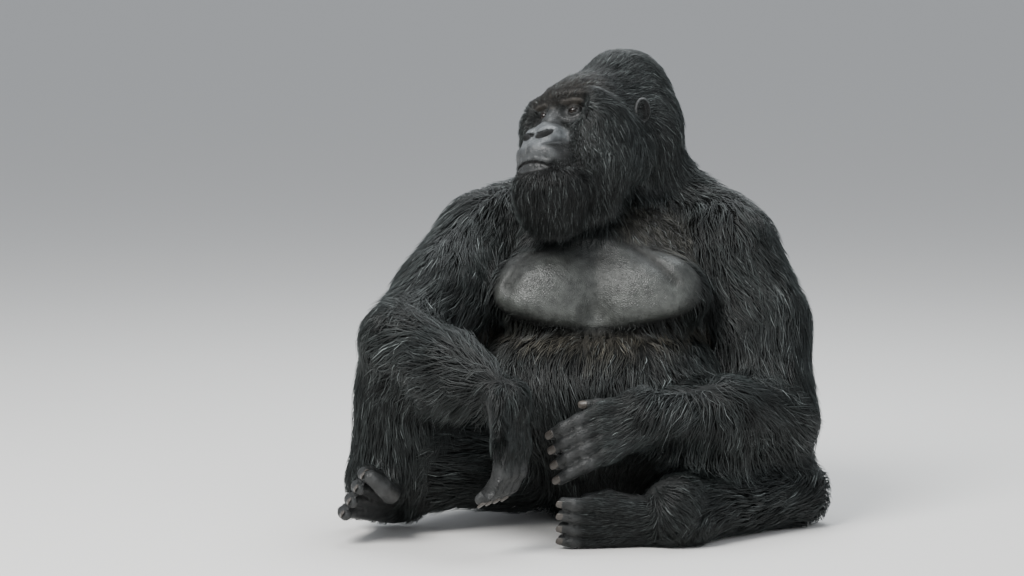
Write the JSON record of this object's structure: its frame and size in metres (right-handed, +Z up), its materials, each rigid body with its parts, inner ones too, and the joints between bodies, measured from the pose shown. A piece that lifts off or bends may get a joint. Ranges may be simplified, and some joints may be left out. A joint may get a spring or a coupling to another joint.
{
  "type": "gorilla",
  "caption": "Adult male mountain gorilla sitting on the ground, arms over its knees, head turned to its right and slightly up.",
  "frame": {"origin": "on the floor under the rump, where the animal sits", "axes": "+Z up, the chest faces -Y, the animal's own left is +X"},
  "size_m": [0.9882, 0.8367, 0.9597],
  "materials": {
    "fur": "long shaggy black hair with a blue-grey sheen",
    "skin": "bare grey-black skin, finely wrinkled, with a dull sheen",
    "nail_horn": "dark worn nail",
    "eye": "wet dark brown"
  },
  "bodies": {
    "root": {"belly": "fur", "chest": "skin", "ear_l": "skin", "ear_r": "skin", "eye_l": "eye", "eye_r": "eye", "foot_l": "skin", "foot_r": "skin", "forearm_l": "fur", "forearm_r": "fur", "hand_l": "skin", "hand_r": "skin", "head": "fur", "nail_finger_l_1": "nail_horn", "nail_finger_l_2": "nail_horn", "nail_finger_l_3": "nail_horn", "nail_finger_l_4": "nail_horn", "nail_finger_l_5": "nail_horn", "nail_finger_r_1": "nail_horn", "nail_finger_r_2": "nail_horn", "nail_finger_r_3": "nail_horn", "nail_finger_r_4": "nail_horn", "nail_finger_r_5": "nail_horn", "nail_toe_l_1": "nail_horn", "nail_toe_l_2": "nail_horn", "nail_toe_l_3": "nail_horn", "nail_toe_l_4": "nail_horn", "nail_toe_l_5": "nail_horn", "nail_toe_r_1": "nail_horn", "nail_toe_r_2": "nail_horn", "nail_toe_r_3": "nail_horn", "nail_toe_r_4": "nail_horn", "nail_toe_r_5": "nail_horn", "neck": "fur", "rump": "fur", "shank_l": "fur", "shank_r": "fur", "thigh_l": "fur", "thigh_r": "fur", "upper_arm_l": "fur", "upper_arm_r": "fur"}
  },
  "joints": []
}
